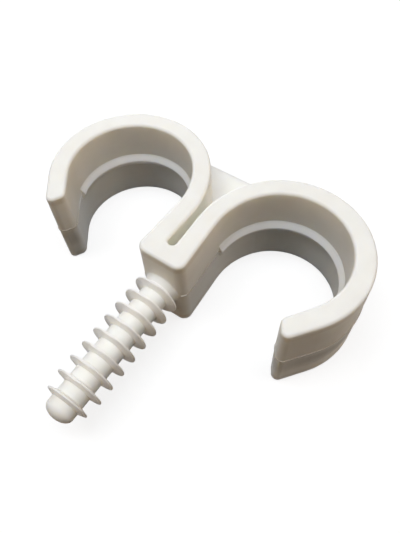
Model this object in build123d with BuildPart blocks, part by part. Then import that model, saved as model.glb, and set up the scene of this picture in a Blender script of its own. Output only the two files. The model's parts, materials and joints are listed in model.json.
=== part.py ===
"""Double pipe hook: one moulding that holds two pipes side by side off a wall.

A finned plug pushes into a drilled hole, a block seats on the wall, and two
arms rise from the block into two hooks that open back towards the wall. The
pipes snap in past a straight lip at each hook's end. The mould parts at
mid-depth, so every wall drafts away from the plane Z = 0 on both sides, and a
rib that bites the pipe runs round each seat on that plane.

X runs across the hooks, +Y points from the wall to the pipes along the plug's
axis, and Z runs along the pipes. The origin is where the plug's axis meets
the wall.
"""

import os
from math import cos, radians, sin, tan

from build123d import *

# Hooks, in millimetres, measured at the parting plane
SEAT_RADIUS = 12.35  # wall of the pipe seat
WALL = 3.95  # mean thickness of a hook
WALL_SHIFT = 0.13  # thicker by this on a hook's outer side, thinner at the gap
AXIS_HEIGHT = 14.05  # from the wall to the pipe axes
DEPTH = 19.8  # along the pipes
DRAFT = 0.5  # degrees, on both sides of the parting plane
EDGE_RADIUS = 0.6  # all round both flat sides
PARTING_RIDGE = 0.12  # height of the fine line that the mould's joint leaves
PARTING_WIDTH = 0.2

# Throat between the hooks: their outsides ease into the walls of a narrow slot
THROAT_START = 140.0  # degrees round a hook where its outside begins to ease
THROAT_EASE = 2.7  # radius added to the outside from there on
SLOT = 1.15  # gap between the arms where it is narrowest
SLOT_TAPER = 1.75  # degrees that each wall leans back towards the slot's end

# Lip at the open end of a hook: the wall runs on straight, thins and is cut askew
LIP_START = -36.6  # degrees round the seat where the pipe side turns straight
LIP_TAPER = 1.8  # degrees further round where the outside turns straight
LIP_INNER_LENGTH = 6.05
LIP_OUTER_LENGTH = 7.25
LIP_INNER_RADIUS = 1.5
LIP_OUTER_RADIUS = 1.3

# Arms and the block between them
RELIEF_START = 141.0  # degrees round the seat where the arm leaves the pipe
RELIEF_EASE = 2.1  # radius added to the seat's from there to the arm
ARM_FLARE = 2.7  # degrees that the arms widen towards the wall
SLOT_END = 3.87  # from the wall to the bottom of the slot
CORNER_RADIUS = 1.8  # upright corners of the block

# Web that closes the slot and the gap between the hooks at mid-depth
WEB = 2.4
WEB_SETBACK = 0.02  # from the hooks' outermost line to the web's edge
WEB_LAP = 1.0  # how far it runs into the walls it joins

# Rib round each seat and on into the arm, at mid-depth
RIB_HEIGHT = 0.85  # above the wall it stands on
RIB_LAND = 0.4  # flat width of the crest
RIB_SLOPE = 1.6  # half-width gained for each millimetre down its flanks
RIB_LAP = 0.5  # how far it runs into the wall
RIB_FROM = -24.0  # degrees round the seat
RIB_TO = 179.5  # degrees round the curve that leads into the arm

# Plug
PLUG_LENGTH = 30.4
NECK_INSET = 1.4  # from the block's side to the neck, at the wall face
NECK_DEPTH = 1.0  # how far the neck runs into the block
NECK_FILLET = 0.3
SHAFT_RADIUS = 2.8  # at the first fin
TIP_RADIUS = 2.75  # of the shaft at its far end
TIP_ROUND = 1.65
FIN_PITCH = 3.11
FIRST_FIN = 2.1  # from the wall to the middle of the first fin
FIN_RADIUS = 4.72
FIN_FLAT = 4.4  # from the plug's axis to the flat on each side of a fin
LAST_FIN_RADIUS = 4.2  # the fin that enters the hole first is smaller
FIN_ROOT = 1.1  # thickness where it leaves the shaft
FIN_RIM = 0.3  # thickness at its rim
FIN_RIM_ROUND = 0.1

outer_radius = SEAT_RADIUS + WALL
throat_radius = outer_radius + THROAT_EASE
throat_gap = THROAT_EASE * (1 + cos(radians(THROAT_START)))
half_spacing = outer_radius - WALL_SHIFT + throat_gap + SLOT / 2
half_depth = DEPTH / 2
relief_radius = SEAT_RADIUS + RELIEF_EASE
fin_count = 1 + int((PLUG_LENGTH - TIP_ROUND - FIRST_FIN) / FIN_PITCH)


def polar(angle, length=1.0):
    """The vector of this length at this angle, in degrees from +X."""
    return Vector(length * cos(radians(angle)), length * sin(radians(angle)))


pipe_centre = Vector(half_spacing, AXIS_HEIGHT)
outer_centre = pipe_centre + Vector(WALL_SHIFT, 0)
throat_centre = outer_centre - polar(THROAT_START, THROAT_EASE)
relief_centre = pipe_centre - polar(RELIEF_START, RELIEF_EASE)
arm_top = relief_centre + polar(180 + ARM_FLARE, relief_radius)
arm_foot = Vector(arm_top.X + arm_top.Y * tan(radians(ARM_FLARE)), 0)
neck_radius = arm_foot.X - NECK_INSET
lip_root = pipe_centre + polar(LIP_START, SEAT_RADIUS)
lip_inner_corner = lip_root + polar(LIP_START - 90, LIP_INNER_LENGTH)
lip_outer_end = LIP_START - LIP_TAPER
lip_outer_root = outer_centre + polar(lip_outer_end, outer_radius)
lip_outer_corner = lip_outer_root + polar(lip_outer_end - 90, LIP_OUTER_LENGTH)


def hook_outline():
    """Right half of the outline at the parting plane, from slot to block."""
    lean = radians(SLOT_TAPER)
    slot_top = throat_centre + polar(180 + SLOT_TAPER, throat_radius)
    slot_width = slot_top.X + (slot_top.Y - SLOT_END) * tan(lean)
    slot_end_radius = slot_width * cos(lean) / (1 + sin(lean))
    with BuildLine() as path:
        slot_end = JernArc((0, SLOT_END), (1, 0), slot_end_radius, 90 + SLOT_TAPER)
        Line(slot_end @ 1, slot_top)
        throat_turn = 180 + SLOT_TAPER - THROAT_START
        throat = JernArc(slot_top, slot_end % 1, throat_radius, -throat_turn)
        outside = JernArc(throat @ 1, throat % 1, outer_radius, lip_outer_end - THROAT_START)
        Polyline(outside @ 1, lip_outer_corner, lip_inner_corner, lip_root)
        seat = JernArc(lip_root, polar(LIP_START + 90), SEAT_RADIUS, RELIEF_START - LIP_START)
        relief_turn = 180 + ARM_FLARE - RELIEF_START
        relief = JernArc(seat @ 1, seat % 1, relief_radius, relief_turn)
        Polyline(relief @ 1, arm_foot, (0, 0), (0, SLOT_END))
    return path.line


def plug_fins():
    """The fins: turned discs, thin at the rim, with a flat above and below."""
    with BuildPart() as fins:
        with BuildSketch() as section:
            for number in range(fin_count):
                last = number == fin_count - 1
                rim = LAST_FIN_RADIUS if last else FIN_RADIUS
                middle = -(FIRST_FIN + number * FIN_PITCH)
                with BuildLine():
                    Polyline(
                        (0, middle - FIN_ROOT / 2),
                        (SHAFT_RADIUS, middle - FIN_ROOT / 2),
                        (rim, middle - FIN_RIM / 2),
                        (rim, middle + FIN_RIM / 2),
                        (SHAFT_RADIUS, middle + FIN_ROOT / 2),
                        (0, middle + FIN_ROOT / 2),
                        close=True,
                    )
                make_face()
            rims = section.vertices().filter_by(lambda v: v.X > LAST_FIN_RADIUS - 0.01)
            fillet(rims, FIN_RIM_ROUND)
        revolve(axis=Axis.Y)
        Box(2 * FIN_RADIUS, 2 * PLUG_LENGTH, 2 * FIN_FLAT, mode=Mode.INTERSECT)
    return fins.part


with BuildPart() as double_pipe_hook:
    # block, arms and hooks: one outline, drafted away from the parting plane
    with BuildSketch() as outline:
        with BuildLine():
            add(hook_outline())
        make_face()
        fillet(outline.vertices().sort_by_distance(lip_inner_corner)[0], LIP_INNER_RADIUS)
        fillet(outline.vertices().sort_by_distance(lip_outer_corner)[0], LIP_OUTER_RADIUS)
        mirror(about=Plane.YZ)
    extrude(amount=half_depth)
    sides = double_pipe_hook.faces().filter_by(Axis.Z, reverse=True)
    wall_face = sides.filter_by(Axis.Y).sort_by(Axis.Y)[0]
    draft([face for face in sides if face != wall_face], Plane.XY, DRAFT)

    # rounds: the block's upright corners, then all round the flat side
    wall_face = double_pipe_hook.faces().filter_by(Axis.Y).sort_by(SortBy.AREA)[-1]
    wall_edges = wall_face.edges().sort_by(Axis.X)
    fillet([wall_edges[0], wall_edges[-1]], CORNER_RADIUS)
    fillet(double_pipe_hook.faces().sort_by(Axis.Z)[-1].edges(), EDGE_RADIUS)
    mirror(about=Plane.XY)

    # web, in the slot and between the hooks
    with BuildSketch():
        slot_height = AXIS_HEIGHT - SLOT_END + WEB_LAP
        with Locations((0, AXIS_HEIGHT - slot_height / 2)):
            Rectangle(SLOT + 3 * WEB_LAP, slot_height)
        gap_height = outer_radius - WEB_SETBACK
        with Locations((0, AXIS_HEIGHT + gap_height / 2)):
            Rectangle(2 * half_spacing, gap_height)
        with Locations(pipe_centre, (-half_spacing, AXIS_HEIGHT)):
            Circle(SEAT_RADIUS + WALL - 2 * WEB_LAP, mode=Mode.SUBTRACT)
    extrude(amount=WEB / 2, both=True)

    # rib round each seat, then round the curve that leads into the arm
    crest = RIB_LAND / 2
    foot = crest + RIB_SLOPE * (RIB_HEIGHT + RIB_LAP)
    for centre, radius, start, end in (
        (pipe_centre, SEAT_RADIUS, RIB_FROM, RELIEF_START),
        (relief_centre, relief_radius, RELIEF_START, RIB_TO),
    ):
        rib_plane = Plane(centre, x_dir=polar(start), z_dir=polar(start - 90))
        with BuildSketch(rib_plane):
            with BuildLine():
                Polyline(
                    (radius - RIB_HEIGHT, -crest),
                    (radius + RIB_LAP, -foot),
                    (radius + RIB_LAP, foot),
                    (radius - RIB_HEIGHT, crest),
                    close=True,
                )
            make_face()
        rib = revolve(axis=Axis(centre, (0, 0, 1)), revolution_arc=end - start)
        mirror(rib, about=Plane.YZ)

    # fine ridge where the mould parts, all round but for the wall's face
    with BuildSketch() as ridge:
        add(outline.sketch)
        for corner in (arm_foot, Vector(-arm_foot.X, 0)):
            fillet(ridge.vertices().sort_by_distance(corner)[0], CORNER_RADIUS)
        offset(amount=PARTING_RIDGE)
        Rectangle(3 * arm_foot.X, 4 * PARTING_RIDGE, mode=Mode.SUBTRACT)
    extrude(amount=PARTING_WIDTH / 2, both=True)

    # plug: a neck and a tapered shaft with a round end, turned about Y, and the fins
    with BuildSketch():
        taper_end = -(PLUG_LENGTH - TIP_ROUND)
        neck_slope = (neck_radius - SHAFT_RADIUS) / FIRST_FIN
        neck_root = (neck_radius + neck_slope * NECK_DEPTH, NECK_DEPTH)
        with BuildLine():
            Polyline((0, -PLUG_LENGTH), (0, NECK_DEPTH), neck_root, (SHAFT_RADIUS, -FIRST_FIN))
            Line((SHAFT_RADIUS, -FIRST_FIN), (TIP_RADIUS, taper_end))
            EllipticalCenterArc((0, taper_end), TIP_RADIUS, TIP_ROUND, 270, arc_size=90)
        make_face()
    revolve(axis=Axis.Y)
    add(plug_fins())
    cones = double_pipe_hook.faces().filter_by(GeomType.CONE)
    neck = cones.sort_by_distance((neck_radius, 0, 0))[0]
    fillet(neck.edges().filter_by_position(Axis.Y, -0.01, NECK_DEPTH), NECK_FILLET)

double_pipe_hook.part.label = "double_pipe_hook"

os.makedirs("parts", exist_ok=True)
export_step(double_pipe_hook.part, "parts/double_pipe_hook.step")
print("volume", round(double_pipe_hook.part.volume, 1), "mm3")
print("size", double_pipe_hook.part.bounding_box().size)
print("solids", len(double_pipe_hook.part.solids()), "faces", len(double_pipe_hook.part.faces()))
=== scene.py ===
# %% [markdown]
# # A double pipe hook in white moulded plastic
# Two open snap-in hooks stand side by side on a small block, and a finned plug under
# the block pushes into a drilled hole. The whole thing is one moulding, so the shape
# is finished in CAD. What is left for this lesson is everything that makes a plain
# white part look like a real one: the camera, the light, the plastic and the table.

import json
from math import cos, pi, radians, sin

import bpy
import numpy as np
from mathutils import Matrix, Vector


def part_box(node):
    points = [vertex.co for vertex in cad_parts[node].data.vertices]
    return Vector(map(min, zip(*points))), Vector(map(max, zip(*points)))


MM = 0.001

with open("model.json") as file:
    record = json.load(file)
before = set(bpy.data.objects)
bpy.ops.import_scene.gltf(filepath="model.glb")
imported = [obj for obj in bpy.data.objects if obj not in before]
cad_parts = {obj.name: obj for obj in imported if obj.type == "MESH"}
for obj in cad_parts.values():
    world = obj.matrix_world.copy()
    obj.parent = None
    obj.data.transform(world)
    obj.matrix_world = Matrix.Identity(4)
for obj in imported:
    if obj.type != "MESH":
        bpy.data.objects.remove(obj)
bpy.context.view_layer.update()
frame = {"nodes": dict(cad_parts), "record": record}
hook = frame["nodes"]["double_pipe_hook"]
low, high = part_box("double_pipe_hook")
middle = (low + high) / 2
size = high - low
print("the hook is", [round(s / MM, 1) for s in size], "mm")

# %% [markdown]
# ## The camera
# A part this small is held close to the eye, and that shows: the near hook looks
# clearly larger than the far one. A camera far away with a long lens would flatten
# this. So the camera stands only about a hand's breadth from the part. It is placed
# by a direction and a distance from the point it looks at, with a small roll, which
# is how a person would set up a tripod.

# %% Camera
AIM = Vector((3.47, 7.74, 0)) * MM
AZIMUTH = 37.6
ELEVATION = 57.55
DISTANCE = 99.7 * MM
ROLL = -3.72
LENS = 34.3


def direction(azimuth, elevation):
    """Unit vector from the part towards a viewer: azimuth turns from -Y towards +X."""
    a, e = radians(azimuth), radians(elevation)
    return Vector((sin(a) * cos(e), -cos(a) * cos(e), sin(e)))


def facing(place, target, roll=0.0):
    """Matrix of a camera or lamp at place whose -Z axis points to target, then rolled."""
    turn = (target - place).to_track_quat("-Z", "Y").to_matrix().to_4x4()
    return Matrix.Translation(place) @ turn @ Matrix.Rotation(radians(roll), 4, "Z")


camera = bpy.data.objects.new("camera", bpy.data.cameras.new("camera"))
bpy.context.scene.collection.objects.link(camera)
camera.data.lens = LENS
camera.data.clip_start = MM
camera.matrix_world = facing(AIM + direction(AZIMUTH, ELEVATION) * DISTANCE, AIM, ROLL)
bpy.context.scene.camera = camera
print("camera at", [round(c / MM, 1) for c in camera.location], "mm")

# %% [markdown]
# ## The table
# The floor is a plain sheet at the height of the side that the part lies on. A white
# table would throw so much light up that the inner walls of the hooks would lose
# their shade. So the sheet is pale only where it is looked at. To the camera and to
# reflections it glows at a little under full white, and some of its lit surface is
# added on top. Out in the open the two add up to white. Near the part the lamps are
# partly hidden, and a soft shadow stays. Far out the lamps are weak, so the glow
# rises to full white there. To every other ray the sheet is black.

# %% Floor
FLOOR_SIZE = 4.0
FLOOR_GLOW = 0.8
FLOOR_WHITE_FROM = 0.5
FLOOR_LIT = (0.25, 0.25, 0.25, 1)


def maths(nodes, links, operation, first, second=0.0):
    """A maths node's result; each input may be a socket or a plain number."""
    node = nodes.new("ShaderNodeMath")
    node.operation = operation
    for slot, value in enumerate((first, second)):
        if isinstance(value, (int, float)):
            node.inputs[slot].default_value = value
        else:
            links.new(value, node.inputs[slot])
    return node.outputs[0]


def seen_directly(nodes, links):
    """A socket that is 1 on camera, mirror and transmission rays, and 0 on others."""
    path = nodes.new("ShaderNodeLightPath").outputs
    seen = maths(nodes, links, "MAXIMUM", path["Is Camera Ray"], path["Is Glossy Ray"])
    return maths(nodes, links, "MAXIMUM", seen, path["Is Transmission Ray"])


def floor_glow(nodes, links):
    """How strongly the sheet glows: min(1, g + (1 - g) * (r / R)^2).

    g is the glow near the part, r the distance from the origin, and R the distance
    from which the sheet is white.
    """
    away = nodes.new("ShaderNodeVectorMath")
    away.operation = "LENGTH"
    place = nodes.new("ShaderNodeTexCoord").outputs["Object"]
    links.new(place, away.inputs[0])
    share = maths(nodes, links, "DIVIDE", away.outputs["Value"], FLOOR_WHITE_FROM)
    share = maths(nodes, links, "MULTIPLY", share, share)
    glow = maths(nodes, links, "MULTIPLY", share, 1 - FLOOR_GLOW)
    glow = maths(nodes, links, "ADD", glow, FLOOR_GLOW)
    return maths(nodes, links, "MINIMUM", glow, 1.0)


def table_paper():
    """Floor material: a lit sheet plus a glow where it is seen, and nothing elsewhere."""
    material = bpy.data.materials.new("table_paper")
    material.use_nodes = True
    nodes, links = material.node_tree.nodes, material.node_tree.links
    nodes.clear()
    output = nodes.new("ShaderNodeOutputMaterial")
    lit = nodes.new("ShaderNodeBsdfDiffuse")
    lit.inputs["Color"].default_value = FLOOR_LIT
    glow = nodes.new("ShaderNodeEmission")
    links.new(floor_glow(nodes, links), glow.inputs["Strength"])
    sheet = nodes.new("ShaderNodeAddShader")
    links.new(lit.outputs[0], sheet.inputs[0])
    links.new(glow.outputs[0], sheet.inputs[1])
    choose = nodes.new("ShaderNodeMixShader")
    links.new(seen_directly(nodes, links), choose.inputs[0])
    links.new(sheet.outputs[0], choose.inputs[2])
    links.new(choose.outputs[0], output.inputs["Surface"])
    return material


def flat_sheet(name, half, height):
    """A square in the plane z = height, its corners at plus and minus half."""
    corners = np.array([(-1, -1), (1, -1), (1, 1), (-1, 1)], float) * half
    points = np.column_stack([corners, np.full(4, height)])
    mesh = bpy.data.meshes.new(name)
    mesh.from_pydata(points.tolist(), [], [(0, 1, 2, 3)])
    return bpy.data.objects.new(name, mesh)


floor = flat_sheet("floor", FLOOR_SIZE / 2, low.z)
floor.data.materials.append(table_paper())
bpy.context.scene.collection.objects.link(floor)
print("the floor lies at", round(low.z / MM, 2), "mm")

# %% [markdown]
# ## The lamps
# The flat tops are nearly white and the upright walls are a mid warm grey, so most of
# the light has to come from above. One wide cool lamp hangs overhead and two white
# ones stand high up, to the left and at the back. Lamps close to the table open up
# the walls: a white one behind on the left, which also reaches the web between the
# hooks, and three weak warm ones, like light that comes back off a wooden bench. Area
# lamps are used, because their size makes the soft edges of the shading. Three light
# colours are enough for all seven.

# %% Lamps
WHITE = (1, 1, 1)
COOL = (0.8, 0.9, 1)
WARM = (1, 0.7, 0.4)
LAMP_DISTANCE = 0.6
LAMPS = {
    "overhead": dict(azimuth=0, elevation=90, width=0.15, power=0.85, colour=COOL),
    "high_left": dict(azimuth=-60, elevation=70, width=0.25, power=1.6, colour=WHITE),
    "high_back": dict(azimuth=120, elevation=70, width=0.25, power=1, colour=WHITE),
    "low_back_left": dict(azimuth=-135, elevation=15, width=0.25, power=1, colour=WHITE),
    "low_back_right": dict(azimuth=135, elevation=15, width=0.25, power=0.6, colour=WARM),
    "low_front_left": dict(azimuth=-45, elevation=15, width=0.25, power=0.3, colour=WARM),
    "low_front_right": dict(azimuth=45, elevation=15, width=0.25, power=0.4, colour=WARM),
}


def soft_lamp(name, azimuth, elevation, width, power, colour):
    """A square area lamp of this power in watts that looks at the middle of the part."""
    lamp = bpy.data.objects.new(name, bpy.data.lights.new(name, "AREA"))
    lamp.data.size = width
    lamp.data.energy = power
    lamp.data.color = colour
    lamp.matrix_world = facing(middle + direction(azimuth, elevation) * LAMP_DISTANCE, middle)
    bpy.context.scene.collection.objects.link(lamp)


for name, settings in LAMPS.items():
    soft_lamp(name, **settings)
print("lamps:", ", ".join(LAMPS))

# %% [markdown]
# ## The room
# The world could be a second source of light, but an even glow from all sides fills
# the shade that shows the shape. So it is white where it is looked at or reflected,
# like the walls of a light tent, and gives no light. The Standard view transform
# shows a colour as it is written.

# %% World
world = bpy.data.worlds.new("studio")
world.use_nodes = True
bpy.context.scene.world = world
walls, wall_links = world.node_tree.nodes, world.node_tree.links
walls.clear()
tent = walls.new("ShaderNodeBackground")
tent.inputs["Color"].default_value = (1, 1, 1, 1)
wall_links.new(seen_directly(walls, wall_links), tent.inputs["Strength"])
wall_links.new(tent.outputs[0], walls.new("ShaderNodeOutputWorld").inputs["Surface"])
bpy.context.scene.view_settings.view_transform = "Standard"
print("the room is white where it is seen")

# %% [markdown]
# ## Grain of the plastic
# A moulding is never quite even. Its flat sides are a little wavy where the plastic
# shrank as it cooled, its skin has the fine texture of the mould, and its colour has
# a slow mottle. Noise textures give all three. They are read on Object coordinates,
# which are metres here, so each has a real size and stays put on the part.

# %% Noise and bump
def noise(nodes, links, place, scale, detail):
    """Noise with about this many waves to the metre."""
    node = nodes.new("ShaderNodeTexNoise")
    node.inputs["Scale"].default_value = scale
    node.inputs["Detail"].default_value = detail
    links.new(place, node.inputs["Vector"])
    return node.outputs["Fac"]


def bump(nodes, links, height, distance, strength=1.0, under=None):
    """The normal that a height of up to this distance gives, over the one below it."""
    node = nodes.new("ShaderNodeBump")
    node.inputs["Strength"].default_value = strength
    node.inputs["Distance"].default_value = distance
    links.new(height, node.inputs["Height"])
    if under:
        links.new(under, node.inputs["Normal"])
    return node.outputs[0]


# %% [markdown]
# ## Where on the part
# Several colour marks lie in known places, wear and painted light and shade among
# them: round a pipe's seat, along the plug, near the flat sides. The material therefore
# first works out where a point is, from its Object coordinates. No image has to be
# unwrapped onto the curved walls for this.

# %% Measures for the material
seat = frame["record"]["mounts"][0]
PIPE_X, PIPE_Y = (abs(n) for n in seat["pos_m"][:2])
RIB_HEIGHT = 0.85 * MM
SEAT_RADIUS = seat["dims"]["r_mm"] * MM + RIB_HEIGHT
MIDDLE_OF_WALL = 14.7 * MM
WALL_FADE = 1.2 * MM
HOOK_FADE = 7 * MM
NECK_SPACE = 5 * MM


def distance(nodes, links, a, b):
    """The length of the vector (a, b), each a socket: sqrt(a^2 + b^2)."""
    both = nodes.new("ShaderNodeCombineXYZ")
    links.new(a, both.inputs[0])
    links.new(b, both.inputs[1])
    length = nodes.new("ShaderNodeVectorMath")
    length.operation = "LENGTH"
    links.new(both.outputs[0], length.inputs[0])
    return length.outputs["Value"]


def whereabouts(nodes, links, place):
    """Sockets that say where a point of the part is, all in metres."""
    apart = nodes.new("ShaderNodeSeparateXYZ")
    links.new(place, apart.inputs[0])
    x, y, z = apart.outputs
    side = maths(nodes, links, "ABSOLUTE", x)
    height = maths(nodes, links, "ABSOLUTE", z)
    across = maths(nodes, links, "SUBTRACT", side, PIPE_X)
    along = maths(nodes, links, "SUBTRACT", y, PIPE_Y)
    return {
        "side": side,
        "y": y,
        "z": z,
        "height": height,
        "depth": maths(nodes, links, "SUBTRACT", high.z, height),
        "from_pipe": distance(nodes, links, across, along),
        "from_plug": distance(nodes, links, x, z),
    }


def clamp(nodes, links, value):
    """The socket's value, held between 0 and 1."""
    value = maths(nodes, links, "MAXIMUM", value, 0.0)
    return maths(nodes, links, "MINIMUM", value, 1.0)


def all_of(nodes, links, first, *others):
    """The product of several shares: 1 only where each of them is 1."""
    for other in others:
        first = maths(nodes, links, "MULTIPLY", first, other)
    return first


def rise(nodes, links, value, start, end):
    """clamp((value - start) / (end - start)): 0 up to the start, 1 from the end on."""
    share = maths(nodes, links, "SUBTRACT", value, start)
    return clamp(nodes, links, maths(nodes, links, "DIVIDE", share, end - start))


def off_the_seat(nodes, links, at):
    """1 in the outer half of a hook's wall and beyond it, fading to 0 towards the pipe."""
    fade_from = MIDDLE_OF_WALL - WALL_FADE
    return rise(nodes, links, at["from_pipe"], fade_from, MIDDLE_OF_WALL)


def outer_side(nodes, links, at):
    """1 on the outsides of the hooks, fading to 0 at a pipe's axis and through the wall."""
    past_pipe = rise(nodes, links, at["side"], PIPE_X, PIPE_X + HOOK_FADE)
    return all_of(nodes, links, past_pipe, off_the_seat(nodes, links, at))


def hill(nodes, links, value, top, reach):
    """max(0, 1 - ((value - top) / reach)^2): 1 at the top, 0 past the reach."""
    share = maths(nodes, links, "SUBTRACT", value, top)
    share = maths(nodes, links, "DIVIDE", share, reach)
    share = maths(nodes, links, "MULTIPLY", share, share)
    share = maths(nodes, links, "SUBTRACT", 1.0, share)
    return maths(nodes, links, "MAXIMUM", share, 0.0)


print("pipe axes at", round(PIPE_X / MM, 2), "and", round(PIPE_Y / MM, 2), "mm")

# %% [markdown]
# ## Rubbed and shaded edges
# Handling wears a plastic part where its walls turn into its flat sides, and on the
# fine raised line that the mould's joint leaves: the colour goes warmer there and the
# skin smoother. The warmer, darker colour is only partly wear: it is also painted
# shade, which darkens the lower part of each round and dims the raised line. A
# curvature trick could find these edges, but they all lie at known heights, so the
# height draws the lines. The marks on the edges are kept to the outsides of the hooks
# and to the block, and fade out towards the middle and the pipes.

# %% Rubbed edges and painted shade
EDGE_MARK_DEPTH = 1.2 * MM
EDGE_MARK_REACH = 1.0 * MM
LINE_REACH = 0.16 * MM
BLOCK_FADE_FROM, BLOCK_END = 5 * MM, 9 * MM
EDGE_MARK_NOISE = dict(scale=300, detail=3)


def worn_and_shaded_edges(nodes, links, place, at):
    """How much wear and painted shade the plastic has, 0 to 1: on the edges outside, and on
    the parting line.

    An edge's mark is a hill over the depth below the flat side, times noise.
    """
    edge = hill(nodes, links, at["depth"], EDGE_MARK_DEPTH, EDGE_MARK_REACH)
    near_wall = rise(nodes, links, at["y"], BLOCK_END, BLOCK_FADE_FROM)
    block = all_of(nodes, links, near_wall, off_the_seat(nodes, links, at))
    open_side = maths(nodes, links, "MAXIMUM", outer_side(nodes, links, at), block)
    edge = all_of(nodes, links, edge, open_side, noise(nodes, links, place, **EDGE_MARK_NOISE))
    line = maths(nodes, links, "LESS_THAN", at["height"], LINE_REACH)
    off_rib = maths(nodes, links, "GREATER_THAN", at["from_pipe"], SEAT_RADIUS)
    beside_neck = maths(nodes, links, "GREATER_THAN", at["side"], NECK_SPACE)
    above_neck = maths(nodes, links, "GREATER_THAN", at["y"], NECK_SPACE)
    off_plug = maths(nodes, links, "MAXIMUM", beside_neck, above_neck)
    line = all_of(nodes, links, line, off_rib, off_plug)
    return maths(nodes, links, "MAXIMUM", edge, line)


# the edge marks are wear and painted shade
print("edges are rubbed", EDGE_MARK_DEPTH / MM, "mm below the flat sides")

# %% [markdown]
# ## Painted shade under the parting line
# Outside each hook, just under the parting line, painted shade makes the plastic darker,
# from the lip round to the hook's side. The painted shade is a hill along the part
# times a wave down the wall, so it starts sharply at the line and fades out everywhere
# else.

# %% Painted shaded band
BAND_Y = 8 * MM
BAND_REACH = 10.5 * MM
BAND_HEIGHT = 6 * MM


def painted_shade_band(nodes, links, at):
    """How much painted shade darkens the plastic under the parting line outside the hooks, 0
    to 1.

    shade = hill along y * sin(pi * t), where t runs from 0 at the parting line to 1 at
    the band's lower edge.
    """
    down = rise(nodes, links, at["z"], 0, -BAND_HEIGHT)
    wave = maths(nodes, links, "SINE", maths(nodes, links, "MULTIPLY", down, pi))
    along = hill(nodes, links, at["y"], BAND_Y, BAND_REACH)
    return all_of(nodes, links, along, wave, outer_side(nodes, links, at))


print("the band reaches", BAND_HEIGHT / MM, "mm under the parting line")

# %% [markdown]
# ## The slot
# The slot between the arms is narrow and deep, so all the light in it has bounced
# many times and every bounce takes a share. Its walls get painted light: a lighter,
# warmer colour that lifts the light deep in the slot. A little more white on its
# walls makes much more light at its bottom.

# %% Painted light in the slot
SLOT_X = 2.5 * MM
SLOT_FROM, SLOT_TO = 3.5 * MM, 20 * MM
SLOT_FADE = 8 * MM
SLOT_RIM = 0.8 * MM


def painted_slot_light(nodes, links, at):
    """How much painted light lightens a point in the slot between the arms, 0 to 1.

    inside = clamp(depth / rim) * clamp((end - y) / fade) near the middle plane and away
    from the wall, and 0 elsewhere; depth is below the nearer flat side.
    """
    inside = rise(nodes, links, at["depth"], 0, SLOT_RIM)
    along = rise(nodes, links, at["y"], SLOT_TO, SLOT_TO - SLOT_FADE)
    near = maths(nodes, links, "LESS_THAN", at["side"], SLOT_X)
    above = maths(nodes, links, "GREATER_THAN", at["y"], SLOT_FROM)
    return all_of(nodes, links, inside, along, near, above)


# the slot's walls carry painted light over this stretch
print("the slot is clean from", SLOT_FROM / MM, "to", SLOT_TO / MM, "mm above the wall")

# %% [markdown]
# ## Ribs and fins
# The ribs in the seats and the fins on the plug are thin. Light that enters a thin
# piece soon leaves it again on the other side, so these look whiter than the thick
# walls. That glow is painted light here: their colour is made whiter. Thickness is
# hard to measure in a material, but the places are known: inside the seats' walls,
# and outside the plug's shaft.

# %% Painted glow on thin plastic
RIB_FADE = 0.3 * MM
FIN_FROM = 2.9 * MM
PLUG_TOP = -1.2 * MM


def thin_plastic_painted_glow(nodes, links, at):
    """Painted glow, 1 on the ribs and the fins, fading to 0 where a rib leaves the seat's
    wall.
    """
    rib = rise(nodes, links, at["from_pipe"], SEAT_RADIUS, SEAT_RADIUS - RIB_FADE)
    fin = maths(nodes, links, "GREATER_THAN", at["from_plug"], FIN_FROM)
    on_plug = maths(nodes, links, "LESS_THAN", at["y"], PLUG_TOP)
    beside = maths(nodes, links, "LESS_THAN", at["side"], NECK_SPACE)
    fin = all_of(nodes, links, fin, on_plug, beside)
    return maths(nodes, links, "MAXIMUM", rib, fin)


print("fins start", FIN_FROM / MM, "mm from the plug's axis")

# %% [markdown]
# ## The plastic
# The part is an injection moulding in a slightly warm white. Such plastic lets light
# in a little way before it sends it back, so thin walls and edges look soft. That is
# what subsurface scattering does, here with a reach of about two millimetres. The
# skin is satin, not glossy. The mottle, the wear and the painted light and shade
# above are laid over each other as colours, and the wear makes the skin smoother too.

# %% White moulded plastic
PLASTIC_LIGHT = (0.88, 0.87, 0.83, 1)
PLASTIC_SHADE = (0.845, 0.83, 0.785, 1)
PLASTIC_THIN_PAINTED_GLOW = (0.97, 0.955, 0.92, 1)
PLASTIC_SLOT_PAINTED_LIGHT = (0.99, 0.96, 0.86, 1)
PLASTIC_WORN_AND_SHADED = (0.66, 0.605, 0.52, 1)
PLASTIC_PAINTED_SHADE = (0.42, 0.385, 0.325, 1)
MOTTLE_FROM, MOTTLE_TO = 0.3, 0.7
MOTTLE_NOISE = dict(scale=220, detail=4)
WAVE_HEIGHT = 0.05 * MM
WAVE_NOISE = dict(scale=90, detail=1)
GRAIN_HEIGHT = 0.02 * MM
GRAIN_STRENGTH = 0.25
GRAIN_NOISE = dict(scale=3500, detail=2)
ROUGHNESS = 0.44
ROUGHNESS_SPREAD = 0.12
WORN_SMOOTHER = 0.15
SKIN_NOISE = dict(scale=600, detail=2)
SHADER = {
    "IOR": 1.45,
    "Specular IOR Level": 0.3,
    "Subsurface Weight": 0.7,
    "Subsurface Radius": (1.0, 0.93, 0.78),
    "Subsurface Scale": 2.0 * MM,
}


def blend_colour(nodes, links, share, under, over):
    """A colour that goes from the socket under to the colour over as share goes to 1."""
    node = nodes.new("ShaderNodeMix")
    node.data_type = "RGBA"
    links.new(share, node.inputs["Factor"])
    links.new(under, node.inputs["A"])
    node.inputs["B"].default_value = over
    return node.outputs["Result"]


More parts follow.
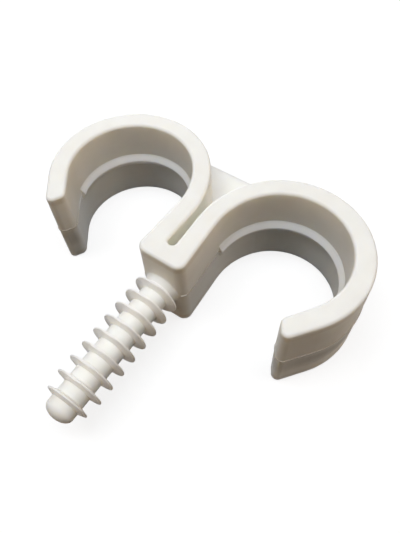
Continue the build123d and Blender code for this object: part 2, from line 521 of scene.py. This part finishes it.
def mottled_colour(nodes, links, place):
    """The clean plastic's colour, between two close tones."""
    tone = nodes.new("ShaderNodeValToRGB")
    shade, light = tone.color_ramp.elements
    shade.position = MOTTLE_FROM
    shade.color = PLASTIC_SHADE
    light.position = MOTTLE_TO
    light.color = PLASTIC_LIGHT
    links.new(noise(nodes, links, place, **MOTTLE_NOISE), tone.inputs[0])
    return tone.outputs[0]


def satin(nodes, links, place, wear_and_shade):
    """Roughness of the skin: base + spread * noise - smoother * wear_and_shade."""
    skin = noise(nodes, links, place, **SKIN_NOISE)
    skin = maths(nodes, links, "MULTIPLY", skin, ROUGHNESS_SPREAD)
    skin = maths(nodes, links, "ADD", skin, ROUGHNESS)
    worn = maths(nodes, links, "MULTIPLY", wear_and_shade, WORN_SMOOTHER)
    return maths(nodes, links, "SUBTRACT", skin, worn)


def moulded_skin(nodes, links, place):
    """The normal of the slow waves with the mould's fine grain over them."""
    waves = noise(nodes, links, place, **WAVE_NOISE)
    waves = bump(nodes, links, waves, WAVE_HEIGHT)
    grain = noise(nodes, links, place, **GRAIN_NOISE)
    return bump(nodes, links, grain, GRAIN_HEIGHT, GRAIN_STRENGTH, waves)


def white_plastic():
    """Satin warm white plastic with soft depth, a fine grain, light wear, and painted light
    and shade.
    """
    material = bpy.data.materials.new("white_moulded_plastic")
    material.use_nodes = True
    nodes, links = material.node_tree.nodes, material.node_tree.links
    shader = nodes["Principled BSDF"]
    place = nodes.new("ShaderNodeTexCoord").outputs["Object"]
    at = whereabouts(nodes, links, place)

    wear_and_shade = worn_and_shaded_edges(nodes, links, place, at)
    colour = mottled_colour(nodes, links, place)
    # over the mottle: painted glow on the thin parts, wear and painted shade on the edges,
    # painted light in the slot, painted shade under the parting line
    for share, over in (
        (thin_plastic_painted_glow(nodes, links, at), PLASTIC_THIN_PAINTED_GLOW),
        (wear_and_shade, PLASTIC_WORN_AND_SHADED),
        (painted_slot_light(nodes, links, at), PLASTIC_SLOT_PAINTED_LIGHT),
        (painted_shade_band(nodes, links, at), PLASTIC_PAINTED_SHADE),
    ):
        colour = blend_colour(nodes, links, share, colour, over)
    links.new(colour, shader.inputs["Base Color"])

    links.new(moulded_skin(nodes, links, place), shader.inputs["Normal"])
    links.new(satin(nodes, links, place, wear_and_shade), shader.inputs["Roughness"])
    for socket, value in SHADER.items():
        shader.inputs[socket].default_value = value
    return material


plastic = white_plastic()
hook.data.materials.clear()
hook.data.materials.append(plastic)
print("plastic on", hook.name, "with", len(plastic.node_tree.nodes), "nodes")
